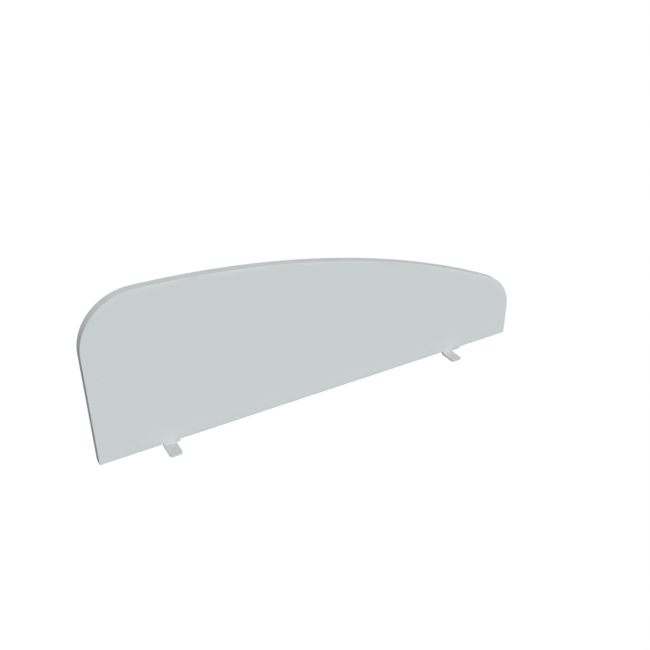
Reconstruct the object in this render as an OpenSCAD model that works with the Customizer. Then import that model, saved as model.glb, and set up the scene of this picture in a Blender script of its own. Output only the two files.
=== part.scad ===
// Desk divider screen: a padded, fabric-covered board with one tall end and one low end.
// Two stepped steel brackets under its bottom edge reach forward to go under a desk top.
// X runs along the width with the tall end at -X, the tabs point to -Y, and Z is up.
// The origin is under the middle of the whole object, level with the underside of the tabs.

/* [Outline] */
// Width of the screen from end to end
screen_w = 1600; // [1300:10:1700]
// Height of the tall end above the screen's own bottom edge
screen_h = 557; // [500:1:700]
// Radius of the rounded corner at the tall end
tall_corner_r = 174; // [60:1:250]
// Radius of the rounded corner at the low end
low_corner_r = 164; // [60:1:250]
// Radius of the long curve that falls from the tall end to the low end
top_curve_r = 3150; // [3000:50:6000]

/* [Layers] */
// Thickness of the core board
core_t = 18; // [14:1:25]
// Thickness of the foam on each face
foam_t = 7; // [3:0.5:10]
// Thickness of the padding strip round the curved edge of the core
edge_pad_t = 3; // [2:0.5:8]
// Thickness of the cover fabric
fabric_t = 1; // [0.8:0.1:1.6]

/* [Brackets] */
// Thickness of the bracket's steel plate
plate_t = 6; // [4:0.5:8]
// Width of the tab that goes under the desk top
tab_w = 42; // [34:1:60]
// How far the tab reaches out from the screen's front face
tab_reach = 58; // [48:1:90]
// Radius of the tab's two front corners
tab_corner_r = 10; // [3:1:15]
// How far the tall-end bracket's flange under the screen runs on past its tab
tall_flange_run = 13; // [8:1:50]
// How far the low-end bracket's flange under the screen runs on past its tab
low_flange_run = 36; // [8:1:50]
// Depth of each flange, measured back from the screen's front face
flange_d = 28; // [26:0.5:30]
// Outer radius of the two bends in the plate
bend_r = 2; // [0.5:0.5:3]
// Distance from the tall end to the nearer bracket
tall_end_inset = 204; // [120:1:400]
// Distance from the low end to the nearer bracket
low_end_inset = 216; // [180:1:400]
// Thickness of the spacer between the flange and the cover
spacer_t = 2; // [1.5:0.5:6]

/* [Bracket fixings] */
// Thread diameter of the screws that hold a bracket
screw_d = 5; // [4:0.5:6]
// Length of those screws under the head
screw_l = 20; // [16:1:24]
// Distance from each end of a flange to the nearer screw
screw_end_gap = 10; // [8:1:14]
// Diameter of the screw head
head_d = 9.5; // [8:0.5:11]
// Height of the screw head
head_h = 2.75; // [2:0.25:3]
// Hex socket size across the corners
socket_d = 3.5; // [2.5:0.5:4]
// Depth of the hex socket
socket_depth = 1.8; // [1:0.2:1.8]
// Diameter of the washers
washer_d = 10; // [9:0.5:12]
// Thickness of the washers
washer_t = 1; // [0.6:0.1:1.2]
// Gap all round a screw in its washer, flange and spacer holes
screw_gap = 0.25; // [0.2:0.05:0.6]
// Outer diameter of the threaded inserts
insert_d = 8; // [7.5:0.5:10]
// Length of the threaded inserts
insert_l = 13; // [10:1:18]
// Free depth above an insert in the core
insert_relief = 3; // [2:1:6]

/* [Desk screw holes] */
// Diameter of the holes in the tab
desk_hole_d = 4; // [3.5:0.5:7]
// Distance between the two holes of one tab
desk_hole_spacing = 22; // [16:1:30]
// Distance from the tab's front end to the nearer hole
desk_hole_inset = 12; // [10:1:18]

/* [Staples] */
// Length of a staple's crown
staple_crown = 10; // [6:1:12]
// Length of a staple's legs
staple_leg = 8; // [6:1:12]
// Thickness of the staple wire
staple_wire = 0.7; // [0.5:0.1:0.7]
// Distance between two staples along the bottom edge
staple_pitch = 100; // [60:5:160]
// Distance from each end of the screen to the first staple
staple_end_gap = 50; // [30:5:100]
// Clear distance between a staple and a bracket
staple_bracket_gap = 12; // [8:1:30]

/* [Hidden] */

// Facets on the long curve, on the corners and on small round pieces
curve_fn = 1440;
corner_fn = 360;
hole_fn = 48;
// Cutting shapes run this far past what they cut
past = 1;

screen_t = core_t + 2 * foam_t + 2 * fabric_t;
half_w = screen_w / 2;

// The tab top is level with the underside of the flange
flange_top = -spacer_t;
flange_bottom = flange_top - plate_t;
tab_bottom = flange_bottom - plate_t;

// Where the screen stands in the object's frame
screen_z = -tab_bottom;
front_y = (tab_reach - screen_t) / 2;
middle_y = screen_t / 2;

// Depths of the layers behind the front face
foam_y = fabric_t;
core_y = foam_y + foam_t;
back_foam_y = core_y + core_t;
back_cover_y = back_foam_y + foam_t;
core_inset = fabric_t + edge_pad_t;

// Centres of the outline's three arcs
tall_corner = [-half_w + tall_corner_r, screen_h - tall_corner_r];
curve_centre = [-half_w + tall_corner_r, screen_h - top_curve_r];
low_corner_x = half_w - low_corner_r;
corner_run = low_corner_x - curve_centre.x;
corner_rise = sqrt(pow(top_curve_r - low_corner_r, 2) - pow(corner_run, 2));
low_corner = [low_corner_x, curve_centre.y + corner_rise];
// Direction from the curve's centre to the point where it meets the low corner
tangent_dir = [corner_run, corner_rise] / (top_curve_r - low_corner_r);

// Width of each flange, and the left edge of each bracket
tall_flange_w = tab_w + tall_flange_run;
low_flange_w = tab_w + low_flange_run;
tall_bracket_x = -half_w + tall_end_inset;
low_bracket_x = half_w - low_end_inset - low_flange_w;

screw_hole_d = screw_d + 2 * screw_gap;
desk_hole_ys = [-tab_reach + desk_hole_inset, -tab_reach + desk_hole_inset + desk_hole_spacing];
screw_seat = flange_bottom - washer_t;

// A staple is left out where it would meet a bracket
staple_run = screen_w - 2 * staple_end_gap;
staple_count = floor(staple_run / staple_pitch) + 1;
staple_first = -(staple_count - 1) * staple_pitch / 2;
function clear_of(x, bracket_x, w) =
    abs(x - bracket_x - w / 2) > (w + staple_crown) / 2 + staple_bracket_gap;
staple_xs = [for (i = [0 : staple_count - 1])
    let (x = staple_first + i * staple_pitch)
    if (clear_of(x, tall_bracket_x, tall_flange_w)
        && clear_of(x, low_bracket_x, low_flange_w)) x];

fabric_colour = [0.79, 0.81, 0.81];
steel_colour = [0.80, 0.81, 0.81];
board_colour = [0.72, 0.58, 0.42];
foam_colour = [0.93, 0.90, 0.78];
zinc_colour = [0.70, 0.70, 0.72];
spacer_colour = [0.76, 0.77, 0.77];

// The screen's outline seen from the front, drawn in by inset, with its bottom at height foot
module outline(inset, foot) {
    difference() {
        intersection() {
            translate([-half_w + inset, foot])
                square([screen_w - 2 * inset, screen_h - inset - foot]);
            union() {
                translate(curve_centre)
                    circle(r = top_curve_r - inset, $fn = curve_fn);
                translate([-half_w, foot])
                    square([tall_corner_r, screen_h - inset - foot]);
            }
        }
        difference() {
            translate([tall_corner.x - tall_corner_r, tall_corner.y])
                square([tall_corner_r, tall_corner_r]);
            translate(tall_corner)
                circle(r = tall_corner_r - inset, $fn = corner_fn);
        }
        difference() {
            translate(low_corner)
                polygon([[0, 0], [2 * low_corner_r, 0],
                    [2 * low_corner_r, 2 * low_corner_r], 2 * low_corner_r * tangent_dir]);
            translate(low_corner)
                circle(r = low_corner_r - inset, $fn = corner_fn);
        }
    }
}

// Stands an outline up as a layer of thickness t that starts at depth y behind the front face
module layer(y, t) {
    translate([0, front_y + y + t, screen_z])
        rotate([90, 0, 0])
        linear_extrude(t)
        children();
}

// Puts children at both screw places of the bracket with its left edge at x and a flange w wide
module at_screws(x, w) {
    for (dx = [screw_end_gap, w - screw_end_gap])
        translate([x + dx, front_y + middle_y, screen_z])
        children();
}

// One staple, with the top of its legs up and its crown level with the bottom of the cover
module staple() {
    translate([-staple_crown / 2, -staple_wire / 2, 0])
        cube([staple_crown, staple_wire, staple_wire]);
    for (side = [0, 1])
        translate([-staple_crown / 2 + side * (staple_crown - staple_wire), -staple_wire / 2, 0])
        cube([staple_wire, staple_wire, staple_leg]);
}

module staples() {
    for (x = staple_xs)
        translate([x, front_y + middle_y, screen_z])
        staple();
}

// Pockets for the inserts, from the bottom of the cover up into the core
module insert_pockets() {
    for (place = [[tall_bracket_x, tall_flange_w], [low_bracket_x, low_flange_w]])
        at_screws(place.x, place.y)
        translate([0, 0, -past])
        cylinder(d = insert_d, h = past + fabric_t + insert_l + insert_relief, $fn = hole_fn);
}

module core_board() {
    color(board_colour)
        difference() {
            layer(core_y, core_t)
                outline(core_inset, fabric_t);
            insert_pockets();
            staples();
        }
}

module front_foam() {
    color(foam_colour)
        layer(foam_y, foam_t)
        outline(fabric_t, fabric_t);
}

module back_foam() {
    color(foam_colour)
        layer(back_foam_y, foam_t)
        outline(fabric_t, fabric_t);
}

module edge_padding() {
    color(foam_colour)
        layer(core_y, core_t)
        difference() {
            outline(fabric_t, fabric_t);
            outline(core_inset, fabric_t - past);
        }
}

module front_cover() {
    color(fabric_colour)
        layer(0, fabric_t)
        outline(0, 0);
}

module back_cover() {
    color(fabric_colour)
        layer(back_cover_y, fabric_t)
        outline(0, 0);
}

// The fabric strip between the front and back covers, round the ends and over the top
module edge_cover() {
    color(fabric_colour)
        layer(fabric_t, screen_t - 2 * fabric_t)
        difference() {
            outline(0, 0);
            outline(fabric_t, -past);
        }
}

// The fabric strip that closes the cover along the bottom edge
module bottom_cover() {
    color(fabric_colour)
        difference() {
            translate([-half_w + fabric_t, front_y + fabric_t, screen_z])
                cube([screen_w - 2 * fabric_t, screen_t - 2 * fabric_t, fabric_t]);
            insert_pockets();
            staples();
        }
}

module cover_staples() {
    color(zinc_colour)
        staples();
}

// A quarter round of radius r between the axes, left standing in its square corner
module inner_corner(r) {
    difference() {
        square([r, r]);
        translate([r, r])
            circle(r = r, $fn = hole_fn);
    }
}

// The stepped part of the plate seen from its end: x is depth behind the front face, y is height
module step_profile() {
    difference() {
        union() {
            translate([0, flange_bottom])
                square([flange_d, plate_t]);
            translate([-tab_reach, tab_bottom])
                square([tab_reach + plate_t, plate_t]);
        }
        translate([0, flange_top])
            mirror([0, 1])
            inner_corner(bend_r);
        translate([plate_t, tab_bottom])
            mirror([1, 0])
            inner_corner(bend_r);
    }
}

module rounded_tab_corners(x) {
    for (side = [0, 1])
        translate([x + side * tab_w, front_y - tab_reach, tab_bottom + screen_z - past])
        mirror([side, 0, 0])
        linear_extrude(plate_t + 2 * past)
        inner_corner(tab_corner_r);
}

// The bracket with its left edge at x and a flange w wide
module bracket(x, w) {
    color(steel_colour)
        difference() {
            union() {
                translate([x, front_y, screen_z])
                    rotate([90, 0, 90])
                    linear_extrude(tab_w)
                    step_profile();
                translate([x, front_y, screen_z])
                    translate([tab_w - past, 0, flange_bottom])
                    cube([w - tab_w + past, flange_d, plate_t]);
            }
            rounded_tab_corners(x);
            for (y = desk_hole_ys)
                translate([x + tab_w / 2, front_y + y, -past])
                cylinder(d = desk_hole_d, h = plate_t + 2 * past, $fn = hole_fn);
            at_screws(x, w)
                translate([0, 0, flange_bottom - past])
                cylinder(d = screw_hole_d, h = plate_t + 2 * past, $fn = hole_fn);
        }
}

// The flat spacer that keeps the flange off the cover
module spacer(x, w) {
    color(spacer_colour)
        difference() {
            translate([x, front_y, screen_z - spacer_t])
                cube([w, flange_d, spacer_t]);
            at_screws(x, w)
                translate([0, 0, -spacer_t - past])
                cylinder(d = screw_hole_d, h = spacer_t + 2 * past, $fn = hole_fn);
        }
}

module inserts(x, w) {
    color(zinc_colour)
        at_screws(x, w)
        translate([0, 0, fabric_t])
        difference() {
            cylinder(d = insert_d, h = insert_l, $fn = hole_fn);
            translate([0, 0, -past])
                cylinder(d = screw_d, h = insert_l + 2 * past, $fn = hole_fn);
        }
}

module washers(x, w) {
    color(zinc_colour)
        at_screws(x, w)
        translate([0, 0, screw_seat])
        difference() {
            cylinder(d = washer_d, h = washer_t, $fn = hole_fn);
            translate([0, 0, -past])
                cylinder(d = screw_hole_d, h = washer_t + 2 * past, $fn = hole_fn);
        }
}

module screws(x, w) {
    color(zinc_colour)
        at_screws(x, w)
        translate([0, 0, screw_seat])
        difference() {
            union() {
                cylinder(d = screw_d, h = screw_l, $fn = hole_fn);
                translate([0, 0, -head_h])
                    cylinder(d = head_d, h = head_h, $fn = hole_fn);
            }
            translate([0, 0, -head_h - past])
                cylinder(d = socket_d, h = socket_depth + past, $fn = 6);
        }
}

module tall_end_bracket() {
    bracket(tall_bracket_x, tall_flange_w);
}

module low_end_bracket() {
    bracket(low_bracket_x, low_flange_w);
}

module tall_end_spacer() {
    spacer(tall_bracket_x, tall_flange_w);
}

module low_end_spacer() {
    spacer(low_bracket_x, low_flange_w);
}

module tall_end_inserts() {
    inserts(tall_bracket_x, tall_flange_w);
}

module low_end_inserts() {
    inserts(low_bracket_x, low_flange_w);
}

module tall_end_washers() {
    washers(tall_bracket_x, tall_flange_w);
}

module low_end_washers() {
    washers(low_bracket_x, low_flange_w);
}

module tall_end_screws() {
    screws(tall_bracket_x, tall_flange_w);
}

module low_end_screws() {
    screws(low_bracket_x, low_flange_w);
}

core_board();
front_foam();
back_foam();
edge_padding();
front_cover();
back_cover();
edge_cover();
bottom_cover();
cover_staples();
tall_end_bracket();
low_end_bracket();
tall_end_spacer();
low_end_spacer();
tall_end_inserts();
low_end_inserts();
tall_end_washers();
low_end_washers();
tall_end_screws();
low_end_screws();
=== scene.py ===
import math
from itertools import combinations

import bmesh
import bpy
from mathutils import Euler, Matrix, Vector, noise
from mathutils.geometry import delaunay_2d_cdt


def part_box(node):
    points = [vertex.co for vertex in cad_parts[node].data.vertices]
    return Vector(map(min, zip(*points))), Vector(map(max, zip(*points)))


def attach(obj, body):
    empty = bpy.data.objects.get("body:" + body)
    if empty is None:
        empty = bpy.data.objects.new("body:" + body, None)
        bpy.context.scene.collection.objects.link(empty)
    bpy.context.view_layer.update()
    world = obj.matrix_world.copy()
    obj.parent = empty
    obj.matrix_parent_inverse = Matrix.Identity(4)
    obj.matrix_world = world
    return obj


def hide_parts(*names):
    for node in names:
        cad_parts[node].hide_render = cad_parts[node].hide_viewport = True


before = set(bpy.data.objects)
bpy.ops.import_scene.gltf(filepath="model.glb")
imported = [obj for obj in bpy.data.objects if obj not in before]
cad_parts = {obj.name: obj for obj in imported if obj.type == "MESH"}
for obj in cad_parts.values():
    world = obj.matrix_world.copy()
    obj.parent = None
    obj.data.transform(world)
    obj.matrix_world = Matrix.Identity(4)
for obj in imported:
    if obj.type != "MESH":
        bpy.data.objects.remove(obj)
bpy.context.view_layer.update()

# Lengths are in metres
MM = 0.001

# The screen's outline, as in the part's source. The cover also rounds the foot's two corners,
# and keeps LEAST_FOOT_R of that where the outline is drawn in
TALL_CORNER_R = 174 * MM
LOW_CORNER_R = 164 * MM
TOP_CURVE_R = 3150 * MM
FOOT_CORNER_R = 1.2 * MM
LEAST_FOOT_R = 0.1 * MM

# How many steps each stretch of the outline is drawn in
FOOT_CORNER_STEPS = 6
TALL_END_STEPS = 30
LOW_END_STEPS = 8
CORNER_STEPS = 32
CURVE_STEPS = 96
FOOT_STEPS = 110

# The rim of a face turns over by FACE_ROUND, at these degrees, and is tucked into the seam.
# TURN_IN from the bottom of the seam, each cloth has taken TURN_IN_SHARE of its tuck
FACE_ROUND = 1.3 * MM
ROUND_TURNS = (15, 30, 45, 60, 75, 90)
SEAM_DEPTH = 0.6 * MM
SEAM_TUCK = 0.7 * MM
SEAM_HALF_GAP = 0.1 * MM
TURN_IN = 0.25 * MM
TURN_IN_SHARE = 0.25
CLOTH_T = 0.7 * MM

# Across a strip, from its edge: flat at STRIP_FLAT, at STRIP_RISE a share of the crown's height,
# and then the crown, at these shares of the width
STRIP_FLAT = 0.9 * MM
STRIP_RISE = 3 * MM
STRIP_RISE_SHARE = 0.35
CROWN_PLACES = (0.25, 0.375, 0.5, 0.625, 0.75)
EDGE_CROWN = 0.35 * MM
EDGE_WRAP = 12 * MM
BOTTOM_STEP = 2 * MM

# A face is drawn on a grid that stays GRID_CLEAR of a step away from its rim.
# Its shallow waves, so many a metre along the width and the height, die out within CALM_RIM
FACE_GRID = 14 * MM
GRID_CLEAR = 0.45
FACE_WAVE = 0.25 * MM
CALM_RIM = 20 * MM
LONG_WAVES = (5, 5)
SHORT_WAVES = (14, 11)
SHORT_WAVE_SHARE = 0.5
SHORT_WAVE_START = 7
WAVES_PER_DEPTH = 90

# For Delaunay: keep only the triangles inside the outline, and join points closer than this
KEEP_INSIDE = 1
DELAUNAY_JOIN = 1e-7

# The bottom strip is pressed in round each staple. A staple's corners lie within STAPLE_GROUP
# of each other along X, and are told apart to STAPLE_DECIMALS
STAPLE_GROUP = 20 * MM
STAPLE_DECIMALS = 4
STAPLE_HALF_FLAT = 4 * MM
STAPLE_DIMPLE = 0.75 * MM
STAPLE_DIMPLE_REACH = 7 * MM

# Hard pieces: points closer than WELD are one, and faces within FLAT_ANGLE are flat.
# An edge is sharp from SHARP_EDGE on, and two sharp edges closer than PINCHED_CORNER are pinched.
# LARGE_FACES_LEAD is the shading weight at which a large face looks flat beside its broken edges
WELD = 1e-6
FLAT_ANGLE = math.radians(0.5)
SHARP_EDGE = math.radians(40)
PINCHED_CORNER = math.radians(25)
BROKEN_EDGE_SEGMENTS = 3
LARGE_FACES_LEAD = 100
BROKEN_EDGES = {"bracket": 0.3 * MM, "spacer": 0.3 * MM, "screws": 0.35 * MM, "washers": 0.15 * MM}

# The camera of the photograph: where it stands, its turn, its angle of view and how far it sees
CAMERA_PLACE = (-1.1339, -1.9372, 1.5790)
CAMERA_TURN = (60, 0, -30)
CAMERA_ANGLE = 45
CAMERA_REACH = 100

# Light: the sky, and two lamps, each with its strength and the direction that it shines from.
# The back lamp lights the side that the photograph doesn't show
SKY = 0.34
LAMPS = (
    ("key_lamp", 2.74, (0.0, -0.82, 0.57)),
    ("back_lamp", 2.0, (0.0, 0.998, 0.06)),
)
LAMP_SPREAD = 10

# The floor is a grey that lights the object as the photograph's does. To the camera it is white,
# by a glow that takes FLOOR_GLOW_SHARE of it and leaves the rest for the object's shadow
FLOOR_SIZE = 60
FLOOR_DROP = 0.5 * MM
FLOOR_GREY = 0.29
FLOOR_GLOW = 1.15
FLOOR_GLOW_SHARE = 0.85

COVER_COLOUR = (0.578, 0.617, 0.617)
STEEL_COLOUR = (0.548, 0.572, 0.572)
SPACER_COLOUR = (0.540, 0.560, 0.560)
ZINC_COLOUR = (0.45, 0.46, 0.48)
FOAM_COLOUR = (0.82, 0.76, 0.55)
BOARD_COLOUR = (0.42, 0.28, 0.16)

# The weave: the width of a yarn, the height of its fibres as a share of the yarn's,
# and how much a slub is drawn out
YARN = 0.9 * MM
FIBRE_SHARE = 0.5
SLUB_STRETCH = 9

front_low, front_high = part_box("front_cover")
back_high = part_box("back_cover")[1]
LEFT, RIGHT = front_low.x, front_high.x
FOOT, TOP = front_low.z, front_high.z
FRONT, BACK = front_low.y, back_high.y


def curve_geometry():
    """Centres of the long curve and of the low corner, and the angle where they meet."""
    curve = (LEFT + TALL_CORNER_R, TOP - TOP_CURVE_R)
    run = RIGHT - LOW_CORNER_R - curve[0]
    rise = math.sqrt((TOP_CURVE_R - LOW_CORNER_R) ** 2 - run ** 2)
    return curve, (RIGHT - LOW_CORNER_R, curve[1] + rise), math.degrees(math.atan2(rise, run))


CURVE_CENTRE, LOW_CENTRE, MEET_ANGLE = curve_geometry()
TALL_CENTRE = (LEFT + TALL_CORNER_R, TOP - TALL_CORNER_R)


class Outline:
    """The screen's outline drawn in by inset, as points with their outward directions."""

    def __init__(self, inset):
        self.inset = inset
        self.points = []
        self.ways = []

    def add(self, x, z, way):
        self.points.append(Vector((x, z)))
        self.ways.append(Vector(way).normalized())

    def arc(self, centre, radius, start, end, steps, first=0):
        """An arc from start to end, in degrees, with first=1 where the path is at its start."""
        for i in range(first, steps + 1):
            a = math.radians(start + (end - start) * i / steps)
            way = (math.cos(a), math.sin(a))
            self.add(centre[0] + radius * way[0], centre[1] + radius * way[1], way)

    def line(self, start, end, way, steps):
        """The points between start and end, without these two."""
        for i in range(1, steps):
            t = i / steps
            self.add(start[0] + (end[0] - start[0]) * t, start[1] + (end[1] - start[1]) * t, way)


def upper_outline(inset):
    """From the foot of the tall end, over the top, to the foot of the low end."""
    path = Outline(inset)
    corner = max(FOOT_CORNER_R, inset + LEAST_FOOT_R)
    foot_r = corner - inset
    left, right, foot = LEFT + inset, RIGHT - inset, FOOT + corner
    path.arc((LEFT + corner, foot), foot_r, 270, 180, FOOT_CORNER_STEPS)
    path.line((left, foot), (left, TALL_CENTRE[1]), (-1, 0), TALL_END_STEPS)
    path.arc(TALL_CENTRE, TALL_CORNER_R - inset, 180, 90, CORNER_STEPS)
    path.arc(CURVE_CENTRE, TOP_CURVE_R - inset, 90, MEET_ANGLE, CURVE_STEPS, first=1)
    path.arc(LOW_CENTRE, LOW_CORNER_R - inset, MEET_ANGLE, 0, CORNER_STEPS, first=1)
    path.line((right, LOW_CENTRE[1]), (right, foot), (1, 0), LOW_END_STEPS)
    path.arc((RIGHT - corner, foot), foot_r, 0, -90, FOOT_CORNER_STEPS)
    return path


def closed_outline(inset):
    """The whole outline, closed along the foot."""
    path = upper_outline(inset)
    path.line(path.points[-1], path.points[0], (0, -1), FOOT_STEPS)
    return path


def inside(path, x, z, margin):
    """True where (x, z) lies at least margin inside the path."""
    reach = path.inset + margin
    if not (LEFT + reach < x < RIGHT - reach and FOOT + reach < z):
        return False
    if x < TALL_CENTRE[0] and z > TALL_CENTRE[1]:
        return math.hypot(x - TALL_CENTRE[0], z - TALL_CENTRE[1]) < TALL_CORNER_R - reach
    dx, dz = x - LOW_CENTRE[0], z - LOW_CENTRE[1]
    if dz > 0 and dx > 0 and math.degrees(math.atan2(dz, dx)) < MEET_ANGLE:
        return math.hypot(dx, dz) < LOW_CORNER_R - reach
    if z > TOP - reach:
        return False
    if x < TALL_CENTRE[0]:
        return True
    return math.hypot(x - CURVE_CENTRE[0], z - CURVE_CENTRE[1]) < TOP_CURVE_R - reach


def new_object(name, data):
    thing = bpy.data.objects.new(name, data)
    bpy.context.scene.collection.objects.link(thing)
    return thing


def smooth(mesh):
    for face in mesh.polygons:
        face.use_smooth = True


def face_outward(mesh):
    """Points every face of a sheet outward, away from the middle of the screen."""
    made = bmesh.new()
    made.from_mesh(mesh)
    bmesh.ops.recalc_face_normals(made, faces=made.faces)
    middle = Vector(((LEFT + RIGHT) / 2, (FRONT + BACK) / 2, (FOOT + TOP) / 2))
    score = sum(f.normal.dot(f.calc_center_median() - middle) * f.calc_area() for f in made.faces)
    if score < 0:
        bmesh.ops.reverse_faces(made, faces=made.faces)
    made.to_mesh(mesh)
    made.free()


def cloth_object(name, points, faces, uvs):
    """A sheet of cloth with its own thickness, laid inward from the points."""
    mesh = bpy.data.meshes.new(name)
    mesh.from_pydata(points, [], faces)
    layer = mesh.uv_layers.new(name="cloth")
    for loop in mesh.loops:
        layer.data[loop.index].uv = uvs[loop.vertex_index]
    smooth(mesh)
    mesh.update()
    face_outward(mesh)
    thing = new_object(name, mesh)
    solid = thing.modifiers.new("cloth thickness", "SOLIDIFY")
    solid.thickness = CLOTH_T
    solid.offset = -1
    solid.use_even_offset = True
    return thing


def face_wave(x, z, face_y):
    """How far a face stands out of its plane at (x, z). The front and the back differ."""
    from_edge = min(x - LEFT, RIGHT - x, z - FOOT)
    calm = min(1.0, max(0.0, from_edge / CALM_RIM))
    depth = face_y * WAVES_PER_DEPTH
    wave = noise.noise(Vector((x * LONG_WAVES[0], z * LONG_WAVES[1], depth)))
    wave += SHORT_WAVE_SHARE * noise.noise(
        Vector((x * SHORT_WAVES[0], z * SHORT_WAVES[1], SHORT_WAVE_START + depth)))
    return FACE_WAVE * wave * calm


def face_cover(name, face_y, outward):
    """One face of the cover, at depth face_y. Outward is -1 for the front and 1 for the back."""
    rim = closed_outline(FACE_ROUND)
    count = len(rim.points)
    flat = [p.copy() for p in rim.points]
    columns = int((RIGHT - LEFT) / FACE_GRID)
    rows = int((TOP - FOOT) / FACE_GRID)
    for i in range(columns + 1):
        for k in range(rows + 1):
            x = LEFT + (RIGHT - LEFT) * i / columns
            z = FOOT + (TOP - FOOT) * k / rows
            if inside(rim, x, z, FACE_GRID * GRID_CLEAR):
                flat.append(Vector((x, z)))
    edges = [(i, (i + 1) % count) for i in range(count)]
    out_flat, _, out_faces, origins, _, _ = delaunay_2d_cdt(
        flat, edges, [], KEEP_INSIDE, DELAUNAY_JOIN)
    place = {}
    for new, old in enumerate(origins):
        for index in old:
            place[index] = new
    points = [(p.x, face_y + outward * face_wave(p.x, p.y, face_y), p.y) for p in out_flat]
    uvs = [(p.x, p.y) for p in out_flat]
    faces = [tuple(f) for f in out_faces]

    # The rim turns over the edge of the screen and is tucked into the seam
    turns = [math.radians(a) for a in ROUND_TURNS]
    profile = [(FACE_ROUND * math.sin(a), FACE_ROUND * (1 - math.cos(a))) for a in turns]
    profile.append((FACE_ROUND - TURN_IN_SHARE * SEAM_TUCK, FACE_ROUND + SEAM_DEPTH - TURN_IN))
    profile.append((FACE_ROUND - SEAM_TUCK, FACE_ROUND + SEAM_DEPTH))
    last_ring = [place[i] for i in range(count)]
    run = 0.0
    before = (0.0, 0.0)
    for out, depth in profile:
        run += math.hypot(out - before[0], depth - before[1])
        before = (out, depth)
        ring = []
        for p, way in zip(rim.points, rim.ways):
            ring.append(len(points))
            points.append((p.x + way.x * out, face_y - outward * depth, p.y + way.y * out))
            uvs.append((p.x + way.x * run, p.y + way.y * run))
        for i in range(count):
            j = (i + 1) % count
            faces.append((last_ring[i], last_ring[j], ring[j], ring[i]))
        last_ring = ring
    return cloth_object(name, points, faces, uvs)


def strip_profile(crown):
    """Across the edge of the screen, from seam to seam: (depth, how far out) pairs."""
    start = FRONT + FACE_ROUND + SEAM_DEPTH + SEAM_HALF_GAP
    end = BACK - FACE_ROUND - SEAM_DEPTH - SEAM_HALF_GAP
    width = end - start
    side = [(0, -SEAM_TUCK), (TURN_IN, -TURN_IN_SHARE * SEAM_TUCK),
            (STRIP_FLAT, 0), (STRIP_RISE, STRIP_RISE_SHARE * crown)]
    profile = [(start + a, b) for a, b in side]
    profile += [(start + width * t, crown * math.sin(math.pi * t) ** 0.5) for t in CROWN_PLACES]
    profile += [(end - a, b) for a, b in reversed(side)]
    return profile


def strip(name, centres, ways, profile):
    """A strip of cloth that follows centres, with profile across it."""
    points, uvs, faces = [], [], []
    run = 0.0
    across = len(profile)
    for i, (centre, way) in enumerate(zip(centres, ways)):
        if i:
            run += (centre - centres[i - 1]).length
        for y, out in profile:
            points.append((centre.x + way.x * out, y, centre.y + way.y * out))
            uvs.append((run, y))
    for i in range(len(centres) - 1):
        for k in range(across - 1):
            a = i * across + k
            faces.append((a, a + 1, a + 1 + across, a + across))
    return cloth_object(name, points, faces, uvs)


def edge_cover():
    """The strip over both ends and the top, turned under the foot, and its length."""
    path = upper_outline(0)
    wrap = Vector((EDGE_WRAP, 0))
    down = Vector((0, -1))
    centres = [path.points[0] + wrap, *path.points, path.points[-1] - wrap]
    thing = strip("edge_cover_cloth", centres, [down, *path.ways, down], strip_profile(EDGE_CROWN))
    return thing, sum((b - a).length for a, b in zip(centres, centres[1:]))


def staple_places():
    """Middles of the staples along X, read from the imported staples."""
    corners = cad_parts["cover_staples"].data.vertices
    groups = []
    for x in sorted({round(v.co.x, STAPLE_DECIMALS) for v in corners}):
        if groups and x - groups[-1][0] < STAPLE_GROUP:
            groups[-1].append(x)
        else:
            groups.append([x])
    return [(g[0] + g[-1]) / 2 for g in groups]


def bottom_cover():
    """The strip that closes the cover along the foot, with its staples' dimples, and its length."""
    start, end = LEFT + EDGE_WRAP, RIGHT - EDGE_WRAP
    steps = int((end - start) / BOTTOM_STEP)
    centres = [Vector((start + (end - start) * i / steps, FOOT)) for i in range(steps + 1)]
    ways = [Vector((0, -1))] * len(centres)
    thing = strip("bottom_cover_cloth", centres, ways, strip_profile(0))
    staples = staple_places()
    middle = (FRONT + BACK) / 2
    for v in thing.data.vertices:
        near = min(abs(v.co.x - x) for x in staples)
        away = math.hypot(max(0.0, near - STAPLE_HALF_FLAT), v.co.y - middle)
        if away < STAPLE_DIMPLE_REACH:
            v.co.z += STAPLE_DIMPLE * math.cos(away / STAPLE_DIMPLE_REACH * math.pi / 2) ** 2
    return thing, end - start


def pinched(corner, sharp):
    """True where two sharp edges leave a corner almost side by side, with no room for a bevel."""
    ways = [(e.other_vert(corner).co - corner.co).normalized()
            for e in corner.link_edges if e in sharp]
    return any(a.angle(b) < PINCHED_CORNER for a, b in combinations(ways, 2))


def softened(node, width):
    """A copy of a CAD node with its outer edges broken by width. Its inner edges stay sharp."""
    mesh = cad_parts[node].data.copy()
    made = bmesh.new()
    made.from_mesh(mesh)
    bmesh.ops.remove_doubles(made, verts=made.verts, dist=WELD)
    bmesh.ops.dissolve_limit(made, angle_limit=FLAT_ANGLE, verts=made.verts, edges=made.edges)
    weight = made.edges.layers.float.new("bevel_weight_edge")
    sharp = {e for e in made.edges if e.calc_face_angle() > SHARP_EDGE}
    tight = {v for v in made.verts if pinched(v, sharp)}
    for edge in sharp:
        if edge.is_convex and tight.isdisjoint(edge.verts):
            edge[weight] = 1
        else:
            edge.smooth = False
    made.to_mesh(mesh)
    made.free()
    smooth(mesh)
    thing = new_object(node + "_finished", mesh)
    bevel = thing.modifiers.new("broken edges", "BEVEL")
    bevel.width = width
    bevel.segments = BROKEN_EDGE_SEGMENTS
    bevel.limit_method = "WEIGHT"
    even = thing.modifiers.new("even shading", "WEIGHTED_NORMAL")
    even.weight = LARGE_FACES_LEAD
    even.keep_sharp = True
    return thing


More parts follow.
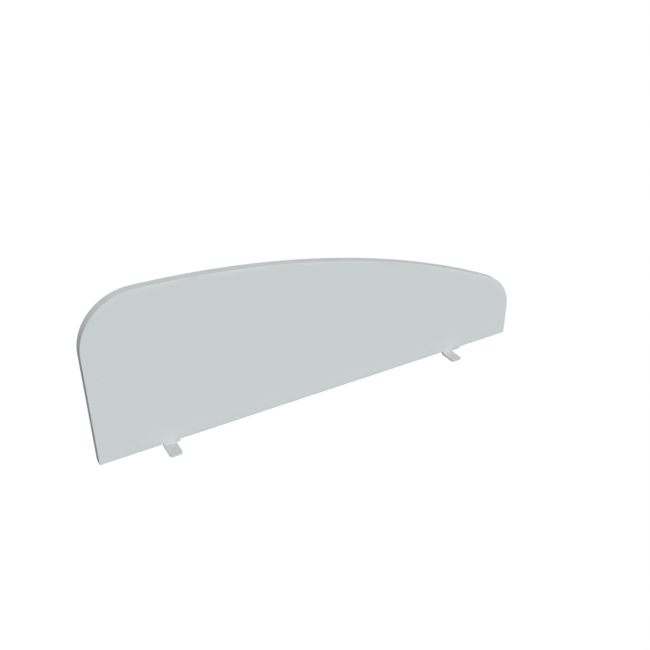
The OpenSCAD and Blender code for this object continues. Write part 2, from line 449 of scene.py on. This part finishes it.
class Shader:
    """A node material with one Principled shader."""

    def __init__(self, name, **values):
        self.material = bpy.data.materials.new(name)
        self.material.use_nodes = True
        self.tree = self.material.node_tree
        self.surface = self.tree.nodes["Principled BSDF"]
        for socket, value in values.items():
            self.surface.inputs[socket.replace("_", " ")].default_value = value

    def node(self, kind, **settings):
        made = self.tree.nodes.new(kind)
        for key, value in settings.items():
            setattr(made, key, value)
        return made

    def join(self, source, target):
        self.tree.links.new(source, target)

    def place(self):
        """Places on the object itself, in metres."""
        return self.node("ShaderNodeTexCoord").outputs["Object"]

    def stretched(self, place, scale):
        made = self.node("ShaderNodeMapping")
        made.inputs["Scale"].default_value = scale
        self.join(place, made.inputs["Vector"])
        return made.outputs["Vector"]

    def maths(self, operation, *values):
        made = self.node("ShaderNodeMath", operation=operation)
        for socket, value in zip(made.inputs, values):
            if isinstance(value, bpy.types.NodeSocket):
                self.join(value, socket)
            else:
                socket.default_value = value
        return made.outputs[0]

    def noise(self, place, scale, detail):
        made = self.node("ShaderNodeTexNoise")
        made.inputs["Scale"].default_value = scale
        made.inputs["Detail"].default_value = detail
        self.join(place, made.inputs["Vector"])
        return made.outputs["Fac"]

    def spread(self, factor, low, high):
        """The factor, from 0 to 1, spread from low to high."""
        made = self.node("ShaderNodeMapRange")
        made.inputs["To Min"].default_value = low
        made.inputs["To Max"].default_value = high
        self.join(factor, made.inputs["Value"])
        return made.outputs["Result"]

    def paint(self, colour, factor, low, high, dark, light):
        """Colours the surface from dark, where factor is low, to light, as shares of colour."""
        ramp = self.node("ShaderNodeValToRGB")
        for stop, position, share in zip(ramp.color_ramp.elements, (low, high), (dark, light)):
            stop.position = position
            stop.color = (*(c * share for c in colour), 1)
        self.join(factor, ramp.inputs["Fac"])
        self.join(ramp.outputs["Color"], self.surface.inputs["Base Color"])

    def bump(self, height, strength, distance):
        made = self.node("ShaderNodeBump")
        made.inputs["Strength"].default_value = strength
        made.inputs["Distance"].default_value = distance
        self.join(height, made.inputs["Height"])
        self.join(made.outputs["Normal"], self.surface.inputs["Normal"])


def cloth_material():
    """Plain-weave upholstery cloth, a little mottled from yarn to yarn."""
    s = Shader("grey_weave", Roughness=0.92, Specular_IOR_Level=0.1,
               Sheen_Weight=0.04, Sheen_Roughness=0.5)
    uv = s.node("ShaderNodeUVMap", uv_map="cloth").outputs["UV"]
    split = s.node("ShaderNodeSeparateXYZ")
    s.join(uv, split.inputs[0])
    warp, weft = (s.maths("SINE", s.maths("MULTIPLY", split.outputs[axis], math.pi / YARN))
                  for axis in "XY")
    weave = s.maths("MULTIPLY", warp, weft)
    fibre = s.noise(uv, scale=3500, detail=3)
    height = s.maths("ADD", weave, s.maths("MULTIPLY", fibre, FIBRE_SHARE))
    across, along = (s.noise(s.stretched(uv, stretch), scale=90, detail=2)
                     for stretch in ((1, SLUB_STRETCH, 1), (SLUB_STRETCH, 1, 1)))
    mottle = s.maths("MULTIPLY", s.maths("ADD", across, along), 0.5)
    s.paint(COVER_COLOUR, mottle, low=0.38, high=0.62, dark=0.975, light=1.02)
    s.bump(height, strength=0.30, distance=0.25 * MM)
    return s.material


def coated_material():
    """Fine-texture powder coat, light grey."""
    s = Shader("powder_coat", Roughness=0.65, Specular_IOR_Level=0.25)
    patches = s.noise(s.place(), scale=60, detail=2)
    grain = s.noise(s.place(), scale=1400, detail=2)
    s.paint(STEEL_COLOUR, patches, low=0.35, high=0.65, dark=0.98, light=1.015)
    s.bump(grain, strength=0.25, distance=0.08 * MM)
    return s.material


def plastic_material():
    """Moulded plastic with a fine spark texture."""
    s = Shader("spacer_plastic", Roughness=0.6)
    grain = s.noise(s.place(), scale=2200, detail=2)
    s.paint(SPACER_COLOUR, grain, low=0.3, high=0.7, dark=0.97, light=1.02)
    s.bump(grain, strength=0.2, distance=0.05 * MM)
    return s.material


def zinc_material():
    """Zinc plating: a soft, slightly cloudy metal."""
    s = Shader("zinc_plate", Metallic=1.0)
    cloud = s.noise(s.place(), scale=220, detail=3)
    s.paint(ZINC_COLOUR, cloud, low=0.3, high=0.7, dark=0.9, light=1.1)
    s.join(s.spread(cloud, low=0.28, high=0.42), s.surface.inputs["Roughness"])
    return s.material


def hidden_material(name, colour, scale):
    """A plain grainy material for what lies inside the cover."""
    s = Shader(name, Roughness=0.95)
    grain = s.noise(s.place(), scale, detail=4)
    s.paint(colour, grain, low=0.3, high=0.7, dark=0.85, light=1.1)
    s.bump(grain, strength=0.4, distance=0.4 * MM)
    return s.material


def put_on(thing, material):
    thing.data.materials.clear()
    thing.data.materials.append(material)


def dress(thing, material, node):
    """Gives a piece its material, hides the CAD node it stands in for, and hangs it under the root
    body.
    """
    put_on(thing, material)
    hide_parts(node)
    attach(thing, "root")


def new_tree(owner):
    """The owner's own node tree, emptied."""
    owner.use_nodes = True
    owner.node_tree.nodes.clear()
    return owner.node_tree


def white_when_seen(tree, shader, glow_kind, strength, share, output_kind):
    """Mixes a share of white glow over a shader, for the rays that see it as a background."""
    path = tree.nodes.new("ShaderNodeLightPath")
    seen = path.outputs["Is Camera Ray"]
    for ray in ("Is Glossy Ray", "Is Transmission Ray"):
        either = tree.nodes.new("ShaderNodeMath")
        either.operation = "MAXIMUM"
        tree.links.new(seen, either.inputs[0])
        tree.links.new(path.outputs[ray], either.inputs[1])
        seen = either.outputs[0]
    part = tree.nodes.new("ShaderNodeMath")
    part.operation = "MULTIPLY"
    part.inputs[1].default_value = share
    tree.links.new(seen, part.inputs[0])
    glow = tree.nodes.new(glow_kind)
    glow.inputs["Color"].default_value = (1, 1, 1, 1)
    glow.inputs["Strength"].default_value = strength
    mix = tree.nodes.new("ShaderNodeMixShader")
    tree.links.new(part.outputs[0], mix.inputs["Fac"])
    tree.links.new(shader.outputs[0], mix.inputs[1])
    tree.links.new(glow.outputs[0], mix.inputs[2])
    tree.links.new(mix.outputs[0], tree.nodes.new(output_kind).inputs["Surface"])


def add_floor():
    bpy.ops.mesh.primitive_plane_add(size=FLOOR_SIZE, location=(0, 0, -FLOOR_DROP))
    floor = bpy.context.object
    floor.name = "floor"
    material = bpy.data.materials.new("white_floor")
    tree = new_tree(material)
    paint = tree.nodes.new("ShaderNodeBsdfDiffuse")
    paint.inputs["Color"].default_value = (FLOOR_GREY, FLOOR_GREY, FLOOR_GREY, 1)
    white_when_seen(tree, paint, "ShaderNodeEmission", FLOOR_GLOW, FLOOR_GLOW_SHARE,
                    "ShaderNodeOutputMaterial")
    floor.data.materials.append(material)


def add_sky():
    world = bpy.data.worlds.new("soft_sky")
    bpy.context.scene.world = world
    tree = new_tree(world)
    sky = tree.nodes.new("ShaderNodeBackground")
    sky.inputs["Color"].default_value = (1, 1, 1, 1)
    sky.inputs["Strength"].default_value = SKY
    white_when_seen(tree, sky, "ShaderNodeBackground", 1, 1, "ShaderNodeOutputWorld")


def add_lamps():
    for name, energy, shines_from in LAMPS:
        lamp = bpy.data.lights.new(name, "SUN")
        lamp.energy = energy
        lamp.angle = math.radians(LAMP_SPREAD)
        turn = Vector(shines_from).to_track_quat("Z", "Y").to_euler()
        new_object(name, lamp).rotation_euler = turn


def add_camera():
    lens = bpy.data.cameras.new("camera")
    lens.angle = math.radians(CAMERA_ANGLE)
    lens.clip_end = CAMERA_REACH
    camera = new_object("camera", lens)
    camera.location = CAMERA_PLACE
    camera.rotation_euler = Euler([math.radians(a) for a in CAMERA_TURN])
    bpy.context.scene.camera = camera


# The cover
cloth = cloth_material()
for name, face_y, outward, foam in (
        ("front_cover", FRONT, -1, "front_foam"), ("back_cover", BACK, 1, "back_foam")):
    piece = face_cover(name + "_cloth", face_y, outward)
    dress(piece, cloth, name)
for name, (piece, length), under in (
        ("edge_cover", edge_cover(), "edge_padding"),
        ("bottom_cover", bottom_cover(), "core_board")):
    dress(piece, cloth, name)

# Brackets and their fixings
zinc = zinc_material()
looks = {"bracket": (coated_material(), "coated_steel"),
         "spacer": (plastic_material(), "spacer_plastic"),
         "screws": (zinc, "plated_steel"),
         "washers": (zinc, "plated_steel")}
for side in ("tall_end", "low_end"):
    for kind, (material, slot_name) in looks.items():
        node = f"{side}_{kind}"
        dress(softened(node, BROKEN_EDGES[kind]), material, node)

# What lies inside keeps its CAD shape
board_look = hidden_material("fibreboard", BOARD_COLOUR, scale=700)
foam_look = hidden_material("foam", FOAM_COLOUR, scale=900)
for material, names in ((board_look, ("core_board",)),
                        (foam_look, ("front_foam", "back_foam", "edge_padding")),
                        (zinc, ("cover_staples", "tall_end_inserts", "low_end_inserts"))):
    for name in names:
        put_on(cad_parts[name], material)

add_floor()
add_sky()
add_lamps()
add_camera()
bpy.context.scene.view_settings.view_transform = "Standard"
